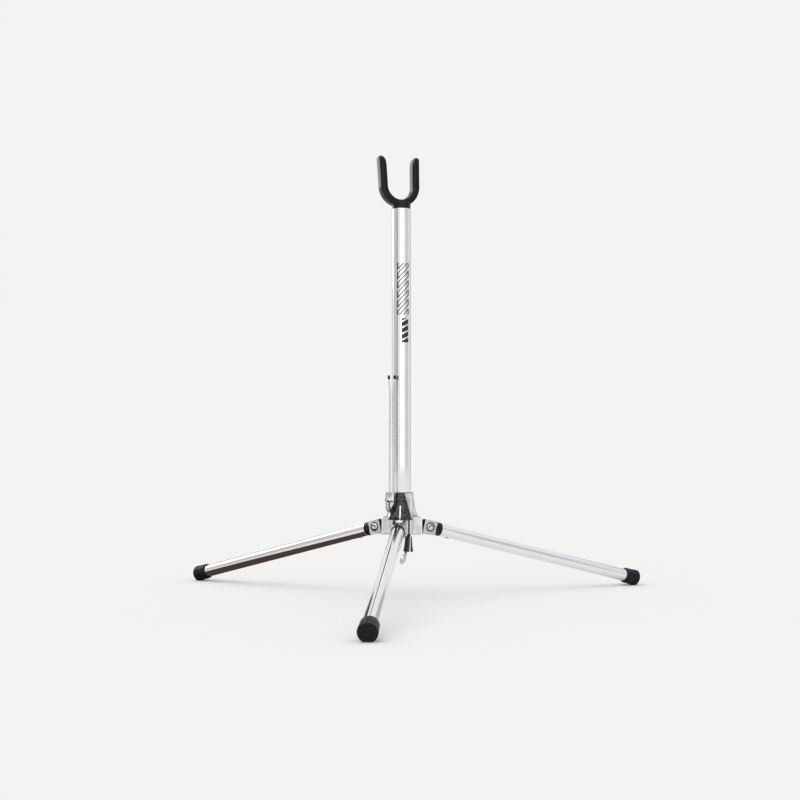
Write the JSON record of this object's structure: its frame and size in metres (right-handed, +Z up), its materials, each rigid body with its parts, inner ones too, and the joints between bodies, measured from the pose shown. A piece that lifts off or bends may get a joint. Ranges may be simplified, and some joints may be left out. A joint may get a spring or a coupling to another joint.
{
  "type": "folding tripod stand",
  "caption": "Folding tripod stand with pull-out fold-up legs on a cast hub, a tube column, a soft U-shaped yoke on top and a small folding wire fork at the hub.",
  "frame": {"origin": "on the floor, under the middle of the three feet's outline", "axes": "+Z up along the column; one leg points to -Y; +X runs to the right across the other two feet"},
  "size_m": [0.4916, 0.4274, 0.4394],
  "materials": {
    "polished_casting": "polished",
    "polished_tube": "polished",
    "satin_casting": "satin",
    "steel": "bright",
    "dark_steel": "black oxide",
    "zinc_steel": "zinc",
    "spring_steel": "spring",
    "soft_black": "glossy",
    "black_plastic": "moulded",
    "black_rubber": "matt",
    "cord_black": "woven"
  },
  "bodies": {
    "frame": {"hub_casting": "polished_casting", "column_tube": "polished_tube", "column_set_screw": "dark_steel", "yoke_plug": "black_plastic", "yoke_core": "zinc_steel", "yoke_sleeve": "soft_black", "yoke_washer": "zinc_steel", "yoke_nut": "zinc_steel", "fork_pivot_screw": "steel", "return_spring_front": "spring_steel", "return_spring_right": "spring_steel", "return_spring_left": "spring_steel", "tail_cord": "cord_black", "cord_bell": "polished_casting", "cord_grommet": "black_plastic", "cord_tip": "satin_casting"},
    "wire_fork": {"fork_block": "satin_casting", "fork_wire_left": "steel", "fork_wire_right": "steel", "fork_tip_left": "soft_black", "fork_tip_right": "soft_black"},
    "draw_front": {"draw_link_front": "steel", "draw_nut_front": "zinc_steel"},
    "leg_front": {"knuckle_front": "satin_casting", "fold_pin_front": "steel", "collar_front": "black_plastic", "leg_tube_front": "polished_tube", "tube_rivet_front": "steel", "foot_cap_front": "black_rubber"},
    "draw_right": {"draw_link_right": "steel", "draw_nut_right": "zinc_steel"},
    "leg_right": {"knuckle_right": "satin_casting", "fold_pin_right": "steel", "collar_right": "black_plastic", "leg_tube_right": "polished_tube", "tube_rivet_right": "steel", "foot_cap_right": "black_rubber"},
    "draw_left": {"draw_link_left": "steel", "draw_nut_left": "zinc_steel"},
    "leg_left": {"knuckle_left": "satin_casting", "fold_pin_left": "steel", "collar_left": "black_plastic", "leg_tube_left": "polished_tube", "tube_rivet_left": "steel", "foot_cap_left": "black_rubber"}
  },
  "joints": [
    {"name": "pull_front", "type": "slide", "parent": "frame", "child": "draw_front", "axis": [0, -0.9707, -0.2402], "range_m": [0, 0.0042], "stiffness_N_per_m": 600, "springref_m": -0.004, "deforming": ["return_spring_front"]},
    {"name": "fold_front", "type": "hinge", "parent": "draw_front", "child": "leg_front", "pos_m": [0, 0.03788, 0.06921], "axis": [-1, 0, 0], "range_deg": [0, 103.5]},
    {"name": "pull_right", "type": "slide", "parent": "frame", "child": "draw_right", "axis": [0.8407, 0.4854, -0.2402], "range_m": [0, 0.0042], "stiffness_N_per_m": 600, "springref_m": -0.004, "deforming": ["return_spring_right"]},
    {"name": "fold_right", "type": "hinge", "parent": "draw_right", "child": "leg_right", "pos_m": [0.02511, 0.08138, 0.06921], "axis": [0.5, -0.866, 0], "range_deg": [0, 103.5]},
    {"name": "pull_left", "type": "slide", "parent": "frame", "child": "draw_left", "axis": [-0.8407, 0.4854, -0.2402], "range_m": [0, 0.0042], "stiffness_N_per_m": 600, "springref_m": -0.004, "deforming": ["return_spring_left"]},
    {"name": "fold_left", "type": "hinge", "parent": "draw_left", "child": "leg_left", "pos_m": [-0.02511, 0.08138, 0.06921], "axis": [0.5, 0.866, 0], "range_deg": [0, 103.5]},
    {"name": "fork_fold", "type": "hinge", "parent": "frame", "child": "wire_fork", "pos_m": [-0.0085, 0.05448, 0.09791], "axis": [0.9659, -0.2588, 0], "range_deg": [0, 90]}
  ],
  "couplings": [
    {"joint": "pull_front", "follows": "fold_front", "m_per_rad": 0.0023},
    {"joint": "pull_right", "follows": "fold_right", "m_per_rad": 0.0023},
    {"joint": "pull_left", "follows": "fold_left", "m_per_rad": 0.0023}
  ]
}
